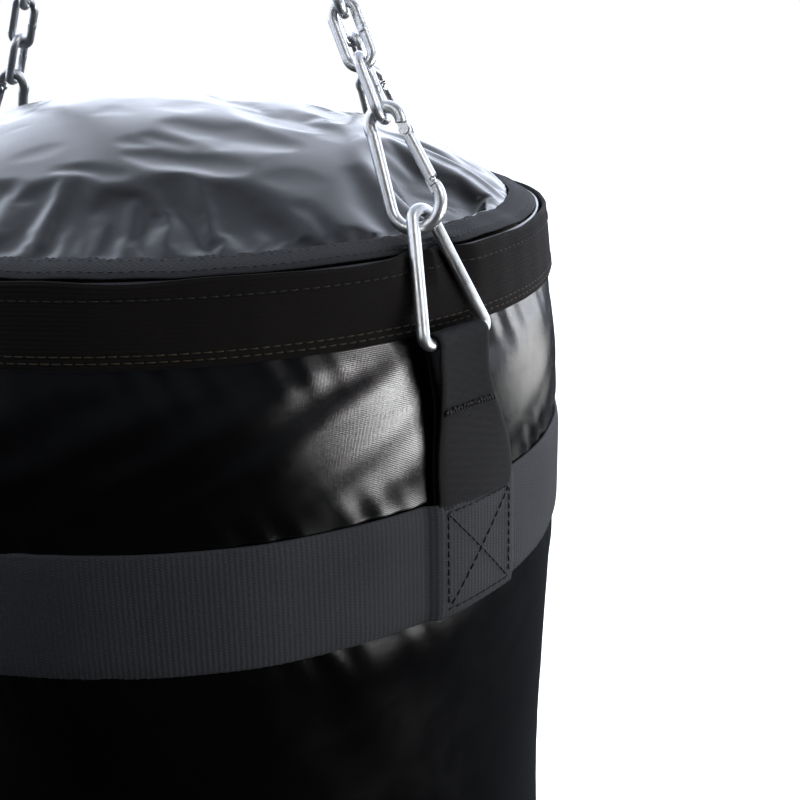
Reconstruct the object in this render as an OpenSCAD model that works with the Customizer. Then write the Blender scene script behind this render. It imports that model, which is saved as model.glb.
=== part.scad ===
// Heavy punching bag, hung by four chains from a ball-bearing swivel and a snap hook.
// The origin is where the top snap hook bears on the ceiling eye, +Z is up,
// and +Y runs from the front of the bag to its back.

/* [Bag] */
// Radius of the vinyl wall over its long straight part
wall_r = 176.5; // [160:0.5:195]
// Radius of the vinyl wall under the top webbing band
top_r = 173.8; // [158:0.1:192]
// Length of the bag from its top lip to its bottom lip
bag_len = 1200; // [900:10:1800]
// Height of the lid's crown over the top lip
lid_rise = 40; // [25:1:50]
// Thickness of the vinyl cloth
vinyl_t = 1.2; // [0.8:0.1:2]

/* [Webbing] */
// Width of the webbing band around the top lip
band_w = 30; // [25:1:40]
// Width of the belt that holds the four hanging straps
belt_w = 50; // [40:1:60]
// Distance from the band's lower edge to the belt's upper edge
belt_gap = 68; // [60:1:90]
// Thickness of one layer of webbing
web_t = 1.8; // [1.2:0.1:2.2]
// Width of a hanging strap where the belt holds it
strap_w = 46; // [40:1:50]
// Width of a hanging strap where its ring gathers it
strap_top_w = 28; // [24:0.5:29]

/* [Rings and snap hooks] */
// Wire diameter of the rings and snap hooks
wire_d = 5; // [4.6:0.1:5]
// Height of a triangular ring, from wire centre to wire centre
ring_h = 50; // [48:0.5:51]
// Lean of a ring towards the bag's axis, in degrees
ring_lean = 21.5; // [19:0.5:21.5]
// Turn of each ring around the bag from the middle of its strap, in degrees
ring_skew = 4.5; // [3:0.5:5]
// Turn of each snap hook about its chain, in degrees
hook_twist = 30; // [24:1:30]

/* [Chains] */
// Wire diameter of the chain
chain_d = 4; // [3.6:0.1:4]
// Inside length of a chain link
link_in = 22; // [22:0.5:28]
// Inside width of a chain link
link_gap = 6; // [6:0.1:7]
// Links in each of the four chains
links = 11; // [9:2:13]
// Radius of the crown ring that gathers the four chains
crown_r = 28; // [26:0.5:32]

/* [Swivel] */
// Length of the top snap hook
top_hook_len = 86; // [84:1:92]
// Radius of the swivel's shank
shank_r = 5; // [5:0.1:5.4]
// Running clearance of the shank in its bore
shank_play = 0.05; // [0.02:0.01:0.08]

/* [Hidden] */
$fn = 96;

touch = 0.1;                 // gap left where two wires bear on each other
ply = 0.15;                  // gap left between layers of cloth
wire_r = wire_d / 2;
chain_r = chain_d / 2;

// A pear-shaped snap hook, drawn at 50 mm long in its own frame.
// The wire at its wide end is centred on the origin, and its narrow end is towards +Z.
pear_wide = 10;              // centre-line radius of the wide end
pear_narrow = 6.5;           // centre-line radius of the narrow end
pear_top = 42;               // height of the narrow end's centre
pear_h = pear_top + pear_narrow;
pear_len = pear_h + wire_d;
pivot_at = [6.7, 36.5];      // gate pivot
nose_a = 16;                 // where the wide end stops at the gate, in degrees
neck_a = 190;                // where the narrow end runs into the spine
arch_a = -18;                // where the narrow end stops at the gate
tang_t = 2.2;                // thickness of the flattened end in the gate's fork
rivet_r = 1;
gate_r = 2.4;
seat_t = 1.6;                // thickness of the nose's tongue in the gate's slot
gate_play = 0.16;            // side play of the tang and the tongue

nose_at = [pear_wide * cos(nose_a), pear_wide + pear_wide * sin(nose_a)];
gate_dir = nose_at - pivot_at;
gate_len = norm(gate_dir) - 0.4;
gate_tilt = atan2(gate_dir.x, -gate_dir.y);   // how far the gate slopes out from the vertical

// The neck bends back between the narrow end and the straight spine,
// and the spine is the inner tangent of that bend and the wide end
neck_r = 5;
neck_at = [0, pear_top] + pear_narrow * [cos(neck_a), sin(neck_a)];
neck_c = neck_at + neck_r * [cos(neck_a), sin(neck_a)];
neck_step = 0.05 * [-sin(neck_a), cos(neck_a)];   // half of the straight bit between the two bends
neck_d = neck_c - [0, pear_wide];
spine_a = atan2(neck_d.y, neck_d.x) + acos((pear_wide + neck_r) / norm(neck_d));
spine_n = [cos(spine_a), sin(spine_a)];

// Where a ring crosses the wire of its hook: the hook's wire lies across it at an angle
ring_bend = 5.6;             // centre-line radius of a ring's top bend
corner_bend = 3.2;           // centre-line radius of its lower corners
corner_y = 14.5;
hook_drop = 1.3;             // how far the hook's wire sits below the centre of the top bend
ring_reach = ring_h - ring_bend - hook_drop;

// A chain, from the wire of its hook's wide end to the wire of the crown
link_len = link_in + chain_d;
link_step = link_len - chain_d - touch;
link_bend = (link_gap + chain_d) / 2;
first_link = pear_h - wire_r - chain_r - touch;
chain_len = first_link + links * link_step - wire_r + chain_r;
link_turn = (90 - hook_twist) / (links - 1);   // extra turn per link, so the last one grips the crown

// Heights in the bag's own frame, whose zero is the top lip
base_r = 182.5;              // distance of a ring's lower wire from the bag's axis
base_z = -band_w - 1.5;
grip_r = base_r - ring_reach * sin(ring_lean);
grip_z = base_z + ring_reach * cos(ring_lean);
chain_lean = asin((grip_r - crown_r) / chain_len);
crown_z = grip_z + chain_len * cos(chain_lean);

// The swivel, above the crown
loop_r = 9;                  // centre-line radius of the crown's loop
loop_w = 3;                  // its wire radius
hub_h = 8;
loop_z = crown_z + 5 + loop_r;
eye_r = 8.5;                 // centre-line radius of the swivel's lower eye
eye_w = 3.25;                // its wire radius
pivot2_z = loop_z + loop_r - loop_w - eye_w - touch;
eye_z = pivot2_z + eye_r;
plate_z = eye_z + eye_r + eye_w + 5;
plate_h = 6;
plate_r = 18.5;
race_h = 2.2;
ball_r = 2;
ball_pitch = 8.7;
ball_count = 9;
race_r = 12;
race_bore = shank_r + 0.1;
bearing_h = 2 * race_h + 2 * ball_r - 1;
race_z = plate_z + plate_h + ply;
nut_z = race_z + bearing_h + 0.2;
nut_h = 8;
nut_af = 17;                 // nut size across its flats
shank_top = nut_z + nut_h + 5;
stirrup_r = 14;              // centre-line radius of the stirrup's arch
stirrup_w = 3.25;
hook_k = top_hook_len / pear_len;
pivot1_z = shank_top + 6 + wire_r * hook_k;
arch_z = pivot1_z + wire_r * hook_k + stirrup_w + touch - stirrup_r;
hang_z = pivot1_z + (pear_h - wire_r) * hook_k;

// The lid's dome is part of a sphere
rim_r = 156;
rim_z = 3.5;
dome_rise = lid_rise - rim_z;
dome_r = (rim_r * rim_r + dome_rise * dome_rise) / (2 * dome_rise);
dome_z = lid_rise - dome_r;
tape_w = 11;
tape_slope = 18;
tape_t = 1;
seam_r = rim_r + tape_w * cos(tape_slope);
seam_z = rim_z - tape_w * sin(tape_slope);
taper_z = -band_w - belt_gap;         // the wall reaches its full radius here
belt_z = -band_w - belt_gap - belt_w;
belt_in = wall_r + ply;
band_in = top_r + ply;
strap_in = wall_r + ply;
strap_out = strap_in + 2 * web_t;
fold_r = wire_r + ply + web_t;

steel = "gainsboro";
zinc = "silver";
vinyl = [0.03, 0.03, 0.035];
web = [0.10, 0.095, 0.09];

// ---------- frames ----------

// Children in the bag's frame, whose zero is the top lip
module bag() { translate([0, 0, -hang_z]) children(); }

// Children at quarter k of the bag: k = 0 is front right, 1 rear right, 2 rear left, 3 front left.
// Odd quarters are mirror images, so the rings of each side lean away from each other.
module quarter(k) {
    rotate([0, 0, k >= 2 ? 180 : 0])
        mirror([0, k % 2, 0])
            rotate([0, 0, -45]) children();
}

// Children in the frame of leg k: +X points out from the bag's axis through its ring
module leg(k) { bag() quarter(k) rotate([0, 0, -ring_skew]) children(); }

// Children on the line of leg k's chain: origin at the hook's lower wire, +Z up the chain
module chain_line(k) {
    leg(k) translate([grip_r, 0, grip_z]) rotate([0, -chain_lean, 0]) children();
}

// Children drawn in XY are stood up in XZ
module stand() { rotate([90, 0, 0]) children(); }

// ---------- wire shapes, drawn in XY ----------

module bend(c, rad, r, a0, a1) {
    translate([c.x, c.y, 0]) rotate([0, 0, a0])
        rotate_extrude(angle = a1 - a0) translate([rad, 0]) circle(r, $fn = 48);
}

// A straight length of wire, run a little way into the bends at its two ends
module bar(p, q, r) {
    d = q - p;
    lap = 0.2;
    translate([p.x, p.y, 0]) rotate([0, 0, atan2(d.y, d.x)]) rotate([0, 90, 0])
        translate([0, 0, -lap]) cylinder(h = norm(d) + 2 * lap, r = r - 0.01, $fn = 48);
}

module tube(h, r_out, r_in) {
    difference() {
        cylinder(h = h, r = r_out);
        translate([0, 0, -1]) cylinder(h = h + 2, r = r_in);
    }
}

// ---------- bag ----------

module side_shell() {
    t = vinyl_t;
    low = -bag_len + 10;
    shoulder_r = top_r - 6.5;        // the wall's shoulder, clear of the rings' legs
    color(vinyl) bag() rotate_extrude($fn = 180) polygon([
        [rim_r - 4, seam_z - 2 - t], [shoulder_r - t, seam_z - 2 - t], [top_r - t, -band_w - 2],
        [wall_r - t, taper_z], [wall_r - t, low],
        [wall_r - t, low - 8], [wall_r, low - 8],
        [wall_r, taper_z], [top_r, -band_w - 2], [shoulder_r, seam_z - 2], [rim_r - 4, seam_z - 2]]);
}

module lid_panel() {
    color(vinyl) bag() {
        difference() {
            intersection() {
                translate([0, 0, dome_z]) sphere(dome_r, $fn = 360);
                cylinder(h = lid_rise + 1, r = rim_r, $fn = 180);
            }
            translate([0, 0, dome_z]) sphere(dome_r - vinyl_t, $fn = 360);
        }
        rotate_extrude($fn = 180) polygon([
            [rim_r - 2, rim_z - vinyl_t - 0.6], [rim_r - 2, rim_z - 0.1], [rim_r, rim_z],
            [seam_r - 0.5, seam_z + 0.1], [seam_r - 0.5, seam_z - vinyl_t]]);
    }
}

module bottom_panel() {
    sag = 8;
    rad = wall_r - vinyl_t - 2.4;
    dish = [for (i = [0 : 12]) [rad * i / 12, -sag * (1 - pow(i / 12, 2))]];
    color(vinyl) bag() translate([0, 0, -bag_len + 10]) rotate_extrude($fn = 180)
        polygon(concat(dish, [for (i = [12 : -1 : 0]) dish[i] + [0, vinyl_t]]));
}

module lid_binding() {
    color(web) bag() rotate_extrude($fn = 180) polygon([
        [rim_r + 0.3, rim_z + 0.2], [rim_r + 0.3, rim_z + tape_t + 0.3],
        [seam_r, seam_z + tape_t + 0.2], [seam_r + 1, seam_z - 0.6],
        [seam_r, seam_z - vinyl_t], [seam_r, seam_z + 0.2]]);
}

// Tape folded over the lower lip of the wall
module bottom_binding() {
    r1 = wall_r + ply;
    r0 = wall_r - vinyl_t - ply;
    color(web) bag() translate([0, 0, -bag_len]) rotate_extrude($fn = 180) polygon([
        [r1 + tape_t, 12], [r1 + tape_t, 0], [r0 - tape_t, 0], [r0 - tape_t, 9],
        [r0, 9], [r0, 1.5], [r1, 1.5], [r1, 12]]);
}

// The band leans in to its free lip, and the legs of the rings press notches into it
module top_band() {
    lip_r = band_in - 3;
    thick = 1.2 * web_t;
    color(web) bag() difference() {
        rotate_extrude($fn = 180) polygon([
            [band_in, -band_w], [band_in + thick, -band_w], [lip_r + thick, 0], [lip_r, 0]]);
        for (k = [0 : 3]) translate([0, 0, hang_z]) ring_place(k)
            stand() leg_slots(wire_r + 0.4, 8);
    }
}

// A belt around the wall, with a step over each strap
module strap_belt() {
    step_a = asin((strap_w / 2 + 2) / strap_out);
    color(web) bag() translate([0, 0, belt_z]) difference() {
        union() {
            tube(belt_w, belt_in + web_t, belt_in, $fn = 180);
            for (k = [0 : 3]) quarter(k) rotate([0, 0, -step_a - 1])
                rotate_extrude(angle = 2 * step_a + 2, $fn = 180)
                    translate([belt_in, 0]) square([2 * web_t + web_t + 1.8, belt_w]);
        }
        for (k = [0 : 3]) quarter(k) translate([belt_in - 5, -strap_w / 2 - 0.4, -1])
            cube([5 + 2 * web_t + 0.4, strap_w + 0.8, belt_w + 2]);
    }
}

// Side view of a strap: two layers that meet at the belt and open around the ring's wire
module strap_side() {
    top = [base_r * cos(ring_skew), base_z];
    low = [strap_in, belt_z + 2];
    meet_z = -band_w - belt_gap + 4;
    fold = [for (a = [0 : 10 : 180]) top + fold_r * [cos(a), sin(a)]];
    difference() {
        polygon(concat(fold, [[strap_in, meet_z], low, [strap_out, low.y], [strap_out, meet_z]]));
        translate(top) circle(wire_r + ply, $fn = 48);
    }
}

// Front view of a strap: gathered at its ring, and wide at the belt
module strap_front() {
    y0 = -base_r * sin(ring_skew);
    top = base_z + fold_r + 1;
    z1 = -band_w - belt_gap + 4;
    polygon([[y0 - strap_top_w / 2, top], [y0 + strap_top_w / 2, top],
        [y0 + strap_top_w / 2, base_z - 6], [strap_w / 2, z1], [strap_w / 2, belt_z],
        [-strap_w / 2, belt_z], [-strap_w / 2, z1], [y0 - strap_top_w / 2, base_z - 6]]);
}

module strap(k) {
    color(web) bag() quarter(k) intersection() {
        translate([0, strap_w, 0]) stand() linear_extrude(2 * strap_w) strap_side();
        translate([wall_r - 20, 0, 0]) rotate([90, 0, 90]) linear_extrude(50) strap_front();
    }
}

module foam_liner() {
    color("dimgray") bag() translate([0, 0, -bag_len + 14])
        tube(bag_len - band_w - 20, top_r - vinyl_t - 0.4, 160, $fn = 120);
}

module filler_core() {
    color("tan") bag() translate([0, 0, -bag_len + 14])
        cylinder(h = bag_len - 22, r = 160 - ply, $fn = 120);
}

module lid_pad() {
    color("dimgray") bag() intersection() {
        translate([0, 0, dome_z]) sphere(dome_r - vinyl_t - 0.3, $fn = 360);
        translate([0, 0, -6]) cylinder(h = 60, r = rim_r - 5, $fn = 120);
    }
}

// ---------- rings, hooks and chains ----------

// A ring's frame: origin at its lower wire, +Z up its height
module ring_place(k) {
    leg(k) translate([grip_r, 0, grip_z]) rotate([0, 0, ring_skew]) rotate([0, -ring_lean, 0])
        translate([0, 0, -ring_reach]) rotate([0, 0, 90]) children();
}

ring_top = [0, ring_h - ring_bend];
ring_corner = [corner_y, corner_bend];
leg_dir = ring_top - ring_corner;
leg_a = atan2(leg_dir.y, leg_dir.x) - 90 - asin((ring_bend - corner_bend) / norm(leg_dir));
leg_n = [cos(leg_a), sin(leg_a)];

// Where the straight legs begin and end, on side s
function leg_foot(s) = [s * (ring_corner.x + corner_bend * leg_n.x), ring_corner.y + corner_bend * leg_n.y];
function leg_head(s) = [s * ring_bend * leg_n.x, ring_top.y + ring_bend * leg_n.y];

module ring_legs(r) {
    for (s = [-1, 1]) bar(leg_foot(s), leg_head(s), r);
}

// The room that the legs take, open for a distance out from the bag
module leg_slots(r, out) {
    ring_legs(r);
    for (s = [-1, 1]) {
        d = leg_head(s) - leg_foot(s);
        translate([leg_foot(s).x, leg_foot(s).y, 0]) rotate([0, 0, atan2(d.y, d.x)])
            translate([0, -r, 0]) cube([norm(d), 2 * r, out]);
    }
}

module ring(k) {
    color(steel) ring_place(k) stand() {
        ring_legs(wire_r);
        bend(ring_top, ring_bend, wire_r, leg_a, 180 - leg_a);
        bend(ring_corner, corner_bend, wire_r, -90, leg_a);
        bend([-corner_y, corner_bend], corner_bend, wire_r, 180 - leg_a, 270);
        bar([-corner_y, 0], [corner_y, 0], wire_r);
    }
}

// Body of a snap hook: wide end, spine, narrow end, the tang for the gate and the nose's tongue
module pear_body() {
    tongue = 3;
    difference() {
        union() {
            stand() {
                bend([0, pear_wide], pear_wide, wire_r, spine_a, 360 + nose_a);
                bar(neck_c - neck_r * spine_n, [0, pear_wide] + pear_wide * spine_n, wire_r);
                bend(neck_c, neck_r, wire_r, spine_a - 180, neck_a - 180);
                bar(neck_at - neck_step, neck_at + neck_step, wire_r);
                bend([0, pear_top], pear_narrow, wire_r, arch_a, neck_a);
            }
            gate_frame() {
                translate([0, tang_t / 2, 0]) stand() cylinder(h = tang_t, r = 1.9, $fn = 48);
                translate([-1.9, -tang_t / 2, 0]) cube([3.8, tang_t, 5]);
                // tongue and its cross pin
                translate([-0.9, -seat_t / 2, -gate_len - 1]) cube([2.2, seat_t, 1 + tongue]);
                translate([0.5, 1.9, -gate_len + 2]) stand() cylinder(h = 3.8, r = 0.6, $fn = 48);
            }
        }
        // the fork of the gate turns here
        gate_frame() for (s = [-1, 1]) translate([-5, s > 0 ? tang_t / 2 : -tang_t / 2 - 5, -3])
            cube([10, 5, 5.9]);
        // flat on the nose where the gate's lip rests
        gate_frame() translate([-4, -4, -gate_len - 3.4]) cube([2.9, 8, 3.4]);
        gate_frame() translate([0, 4, 0]) stand() cylinder(h = 8, r = rivet_r, $fn = 48);
    }
}

// Frame of the gate when shut: origin at its pivot, -Z towards the nose, +X outwards
module gate_frame() {
    translate([pivot_at.x, 0, pivot_at.y]) rotate([0, -gate_tilt, 0]) children();
}

module pear_gate() {
    lip = 2.5;
    gate_frame() difference() {
        union() {
            translate([0, 0, -gate_len]) cylinder(h = gate_len, r = gate_r, $fn = 48);
            translate([0, gate_r - 0.05, 0]) stand() cylinder(h = 2 * gate_r - 0.1, r = gate_r, $fn = 48);
            translate([-2.2, -1.5, -gate_len - lip]) cube([0.95, 3, lip + 3]);
        }
        // fork around the tang
        translate([-5, -tang_t / 2 - gate_play, -2.6]) cube([10, tang_t + 2 * gate_play, 8]);
        translate([0, 4, 0]) stand() cylinder(h = 8, r = rivet_r + 0.05, $fn = 48);
        // slot for the tongue, and pockets for its cross pin
        translate([-1.1, -seat_t / 2 - gate_play, -gate_len - 1])
            cube([5, seat_t + 2 * gate_play, 4.6]);
        translate([0.5, 4, -gate_len + 2]) stand() cylinder(h = 8, r = 0.85, $fn = 48);
        translate([0.5, -4, -gate_len + 1.15]) cube([4, 8, 1.7]);
    }
}

module pear_rivet() {
    head = 0.7;
    gate_frame() stand() {
        translate([0, 0, -gate_r - head]) cylinder(h = 2 * (gate_r + head), r = rivet_r, $fn = 48);
        for (z = [-gate_r - head, gate_r]) translate([0, 0, z]) cylinder(h = head, r = 1.7, $fn = 48);
    }
}

module hook_place(k) { chain_line(k) rotate([0, 0, hook_twist]) children(); }

module hook(k) { color(steel) hook_place(k) pear_body(); }

module gate(k) { color(steel) hook_place(k) pear_gate(); }

module gate_rivets() { color(zinc) for (k = [0 : 3]) hook_place(k) pear_rivet(); }

module chain_link() {
    stand() for (s = [0, 1]) mirror([s, 0]) {
        bend([0, link_bend], link_bend, chain_r, -90, 0);
        bend([0, link_len - link_bend], link_bend, chain_r, 0, 90);
        bar([link_bend, link_bend], [link_bend, link_len - link_bend], chain_r);
    }
}

module chain(k) {
    color(zinc) chain_line(k) for (i = [0 : links - 1])
        translate([0, 0, first_link + i * link_step])
            rotate([0, 0, hook_twist + 90 + i * (90 + link_turn)]) chain_link();
}

// Horizontal ring with four spokes, a hub and a loop that hangs on the swivel's eye
module chain_crown() {
    color(zinc) bag() {
        translate([0, 0, crown_z]) {
            rotate_extrude() translate([crown_r, 0]) circle(wire_r, $fn = 48);
            for (a = [0, 90]) rotate([0, 0, a]) rotate([0, 90, 0])
                translate([0, 0, -crown_r]) cylinder(h = 2 * crown_r, r = wire_r, $fn = 48);
            translate([0, 0, -hub_h / 2]) cylinder(h = hub_h, r = 7);
        }
        translate([0, 0, loop_z]) stand() rotate_extrude() translate([loop_r, 0]) circle(loop_w, $fn = 48);
    }
}

// ---------- swivel ----------

module swivel_eye() {
    color(steel) bag() difference() {
        union() {
            translate([0, 0, eye_z]) rotate([0, 0, 90]) stand()
                rotate_extrude() translate([eye_r, 0]) circle(eye_w, $fn = 48);
            translate([0, 0, eye_z + eye_r]) cylinder(h = shank_top - eye_z - eye_r, r = shank_r);
            translate([0, 0, eye_z + eye_r + 1.5]) cylinder(h = plate_z - ply - eye_z - eye_r - 1.5, r = 8);
        }
        translate([-10, 0, shank_top - 2.5]) rotate([0, 90, 0]) cylinder(h = 20, r = 1.05, $fn = 48);
    }
}

module swivel_nut() {
    color(zinc) bag() translate([0, 0, nut_z]) difference() {
        cylinder(h = nut_h, r = nut_af / 2 / cos(30), $fn = 6);
        translate([0, 0, -1]) cylinder(h = nut_h + 2, r = shank_r + 0.03);
    }
}

module cotter_pin() {
    color(zinc) bag() translate([-8, 0, shank_top - 2.5]) rotate([0, 90, 0])
        cylinder(h = 16, r = 1, $fn = 48);
}

// Base plate with the shank's bore, and a round bar bent over as an arch
module swivel_stirrup() {
    foot = plate_z + plate_h / 2;
    color(steel) bag() difference() {
        union() {
            translate([0, 0, plate_z]) cylinder(h = plate_h, r = plate_r);
            rotate([0, 0, 90]) stand() {
                bend([0, arch_z], stirrup_r, stirrup_w, 0, 180);
                for (s = [-1, 1]) bar([s * stirrup_r, foot], [s * stirrup_r, arch_z], stirrup_w);
            }
        }
        translate([0, 0, plate_z - 1]) cylinder(h = plate_h + 2, r = shank_r + shank_play);
        translate([0, 0, plate_z + plate_h]) cylinder(h = bearing_h + 1, r = race_r + 0.3);
    }
}

module race(z, groove_z) {
    color("lightgray") bag() difference() {
        translate([0, 0, z]) tube(race_h, race_r - 1.3, race_bore);
        translate([0, 0, groove_z]) rotate_extrude() translate([ball_pitch, 0]) circle(ball_r + 0.05, $fn = 48);
    }
}

ball_z = race_z + bearing_h / 2;

module race_lower() { race(race_z, ball_z); }

module race_upper() { race(race_z + bearing_h - race_h, ball_z); }

module bearing_balls() {
    color("lightgray") bag() for (i = [0 : ball_count - 1]) rotate([0, 0, i * 360 / ball_count])
        translate([ball_pitch, 0, ball_z]) sphere(ball_r, $fn = 48);
}

module bearing_cage() {
    color("goldenrod") bag() difference() {
        translate([0, 0, ball_z - 0.4]) tube(0.8, race_r - 1.3, race_bore + 0.3);
        for (i = [0 : ball_count - 1]) rotate([0, 0, i * 360 / ball_count])
            translate([ball_pitch, 0, ball_z - 2]) cylinder(h = 4, r = ball_r + 0.1, $fn = 48);
    }
}

// ---------- top snap hook ----------

module top_place() { bag() translate([0, 0, pivot1_z]) scale(hook_k) children(); }

module top_hook() { color(steel) top_place() pear_body(); }

module top_gate() { color(steel) top_place() pear_gate(); }

module top_rivet() { color(zinc) top_place() pear_rivet(); }

side_shell();
lid_panel();
bottom_panel();
lid_binding();
bottom_binding();
top_band();
strap_belt();
strap(0);  // strap_1
strap(1);  // strap_2
strap(2);  // strap_3
strap(3);  // strap_4
foam_liner();
filler_core();
lid_pad();
ring(0);  // ring_1
ring(1);  // ring_2
ring(2);  // ring_3
ring(3);  // ring_4
hook(0);  // hook_1
hook(1);  // hook_2
hook(2);  // hook_3
hook(3);  // hook_4
gate(0);  // gate_1
gate(1);  // gate_2
gate(2);  // gate_3
gate(3);  // gate_4
gate_rivets();
chain(0);  // chain_1
chain(1);  // chain_2
chain(2);  // chain_3
chain(3);  // chain_4
chain_crown();
swivel_eye();
swivel_nut();
cotter_pin();
swivel_stirrup();
race_lower();
race_upper();
bearing_balls();
bearing_cage();
top_hook();
top_gate();
top_rivet();
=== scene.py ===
import math

import bpy
import numpy as np
from mathutils import Matrix, Vector


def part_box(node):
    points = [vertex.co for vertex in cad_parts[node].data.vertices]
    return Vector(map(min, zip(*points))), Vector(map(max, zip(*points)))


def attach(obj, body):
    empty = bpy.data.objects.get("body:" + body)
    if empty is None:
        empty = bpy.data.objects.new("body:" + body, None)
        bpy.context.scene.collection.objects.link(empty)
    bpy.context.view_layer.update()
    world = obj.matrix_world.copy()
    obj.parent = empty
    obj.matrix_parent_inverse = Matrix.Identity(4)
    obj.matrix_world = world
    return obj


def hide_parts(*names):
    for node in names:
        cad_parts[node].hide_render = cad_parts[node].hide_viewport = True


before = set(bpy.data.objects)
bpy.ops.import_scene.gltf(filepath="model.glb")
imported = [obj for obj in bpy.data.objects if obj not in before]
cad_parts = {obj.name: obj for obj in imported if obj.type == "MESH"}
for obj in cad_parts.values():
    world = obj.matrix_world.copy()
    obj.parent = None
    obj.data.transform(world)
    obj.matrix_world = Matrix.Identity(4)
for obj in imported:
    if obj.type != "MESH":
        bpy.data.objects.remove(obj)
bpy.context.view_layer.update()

MM = 0.001

# ---------- sizes taken from the frame, in millimetres ----------


def box_mm(node):
    low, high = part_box(node)
    return np.array(low) / MM, np.array(high) / MM


LIP = box_mm("top_band")[1][2]                  # height of the band's free lip in the frame
BAND_LOW = box_mm("top_band")[0][2] - LIP
BELT_LOW = box_mm("strap_belt")[0][2] - LIP
BELT_HIGH = box_mm("strap_belt")[1][2] - LIP
BOTTOM = box_mm("bottom_binding")[0][2] - LIP
WALL_R = box_mm("side_shell")[1][0]
TAPE_R = box_mm("lid_binding")[1][0]            # outer radius of the tape around the lid
LID_TOP = box_mm("lid_panel")[1][2] - LIP
RIM_R = TAPE_R - 11.4                           # where the tape's inner edge lies on the lid
RIM_Z = 3.5
TAPE_SLOPE = math.radians(18)                   # slope of the tape around the lid
CROWN_LIFT = 4.5                                # how much the soft lid bulges beyond its CAD dome
LEGS = 4                                        # straps, rings, hooks and chains, numbered from 1
RING_WIRE_Z = -31.5                             # height of a ring's lower wire
RING_WIRE_R = 2.5
PLY = 0.25                                      # room between a ring's wire and its strap
CAMERA_AZ = 7.5                                 # the photograph's side of the bag, in degrees


def smooth(x, low, high):
    """0 below low, 1 above high, and a smooth step between."""
    t = np.clip((x - low) / (high - low), 0, 1)
    return t * t * (3 - 2 * t)


def bell(x, width):
    return np.exp(-((x / width) ** 2))


def waves(u, v, count, longest, shortest, seed):
    """A sum of slanted sine waves over two coordinates in millimetres, about -1 to 1."""
    draw = np.random.default_rng(seed)
    total = 0
    for _ in range(count):
        length = draw.uniform(shortest, longest)
        slant = draw.uniform(0, 2 * math.pi)
        phase = draw.uniform(0, 2 * math.pi)
        along = u * math.cos(slant) + v * math.sin(slant)
        total = total + np.sin(2 * math.pi / length * along + phase)
    return total / math.sqrt(count)


def ring_waves(theta, count, fewest, most, seed):
    """A sum of waves around the bag, which meets itself after a full turn."""
    draw = np.random.default_rng(seed)
    total = 0
    for _ in range(count):
        total = total + np.sin(draw.integers(fewest, most) * theta + draw.uniform(0, 2 * math.pi))
    return total / math.sqrt(count)


# ---------- meshes ----------


def add_mesh(name, points, faces, uv=None, body="bag"):
    """points in millimetres in the frame; uv, one pair per point, in millimetres of cloth."""
    mesh = bpy.data.meshes.new(name)
    points = np.asarray(points, float).reshape(-1, 3) * MM
    faces = np.asarray(faces, np.int32)
    mesh.from_pydata(points.tolist(), [], faces.tolist())
    if uv is not None:
        layer = mesh.uv_layers.new(name="cloth")
        index = np.zeros(len(mesh.loops), np.int32)
        mesh.loops.foreach_get("vertex_index", index)
        flat = np.asarray(uv, float).reshape(-1, 2)[index] / 100
        layer.data.foreach_set("uv", flat.astype(np.float32).ravel())
    mesh.polygons.foreach_set("use_smooth", np.ones(len(mesh.polygons), bool))
    mesh.update()
    piece = bpy.data.objects.new(name, mesh)
    bpy.context.scene.collection.objects.link(piece)
    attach(piece, body)
    return piece


def grid_faces(rows, columns, closed_rows, closed_columns, flip=False):
    r = np.arange(rows if closed_rows else rows - 1)
    c = np.arange(columns if closed_columns else columns - 1)
    r, c = np.meshgrid(r, c, indexing="ij")
    r2, c2 = (r + 1) % rows, (c + 1) % columns
    quads = np.stack([r * columns + c, r * columns + c2, r2 * columns + c2, r2 * columns + c], -1)
    quads = quads.reshape(-1, 4)
    return quads[:, ::-1] if flip else quads


def ring_points(theta, radius, z):
    """Points around the bag from arrays of angle, radius and height over the lip."""
    return np.stack([radius * np.cos(theta), radius * np.sin(theta), z + LIP + 0 * theta], -1)


def section_ring(name, columns, section, uv_radius):
    """A closed band around the bag. section(theta) gives the radius and height of each point of
    the band's cross-section, as arrays of rows by columns, and the rows' own coordinate across."""
    theta = np.linspace(0, 2 * math.pi, columns, endpoint=False)[None, :]
    radius, z, across = section(theta)
    uv = np.stack([theta * uv_radius + 0 * radius, across + 0 * radius], -1)
    faces = grid_faces(*radius.shape, True, True)
    return add_mesh(name, ring_points(theta + 0 * radius, radius, z), faces, uv)


# ---------- the four quarters of the bag ----------


def quarter(k):
    """Matrix from quarter k's own axes, +X out through the middle of its strap, to the frame's."""
    turn = np.array(Matrix.Rotation(math.radians(-45), 3, "Z"))
    flip = np.diag([1, -1 if k % 2 else 1, 1])
    half = np.array(Matrix.Rotation(math.pi if k >= 2 else 0, 3, "Z"))
    return half @ flip @ turn


def node_points(node):
    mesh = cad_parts[node].data
    points = np.zeros(len(mesh.vertices) * 3, np.float32)
    mesh.vertices.foreach_get("co", points)
    return points.reshape(-1, 3).astype(float) / MM


STRAP_ANGLES = [math.atan2(*(quarter(k) @ [1, 0, 0])[[1, 0]]) for k in range(LEGS)]


def angle_from(theta, centre):
    return (theta - centre + math.pi) % (2 * math.pi) - math.pi


# A ring's straight legs have points only at their ends, near these heights
LEG_ENDS, LEG_END_REACH = (-28.25, 12.25), 2.2
LEG_LOW, LEG_HIGH = -22, 2           # heights at which a leg's place is worked out
LEG_GAP = 0.45                       # cloth keeps this far from a leg
LEG_DENT_WIDTH = 8.5


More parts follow.
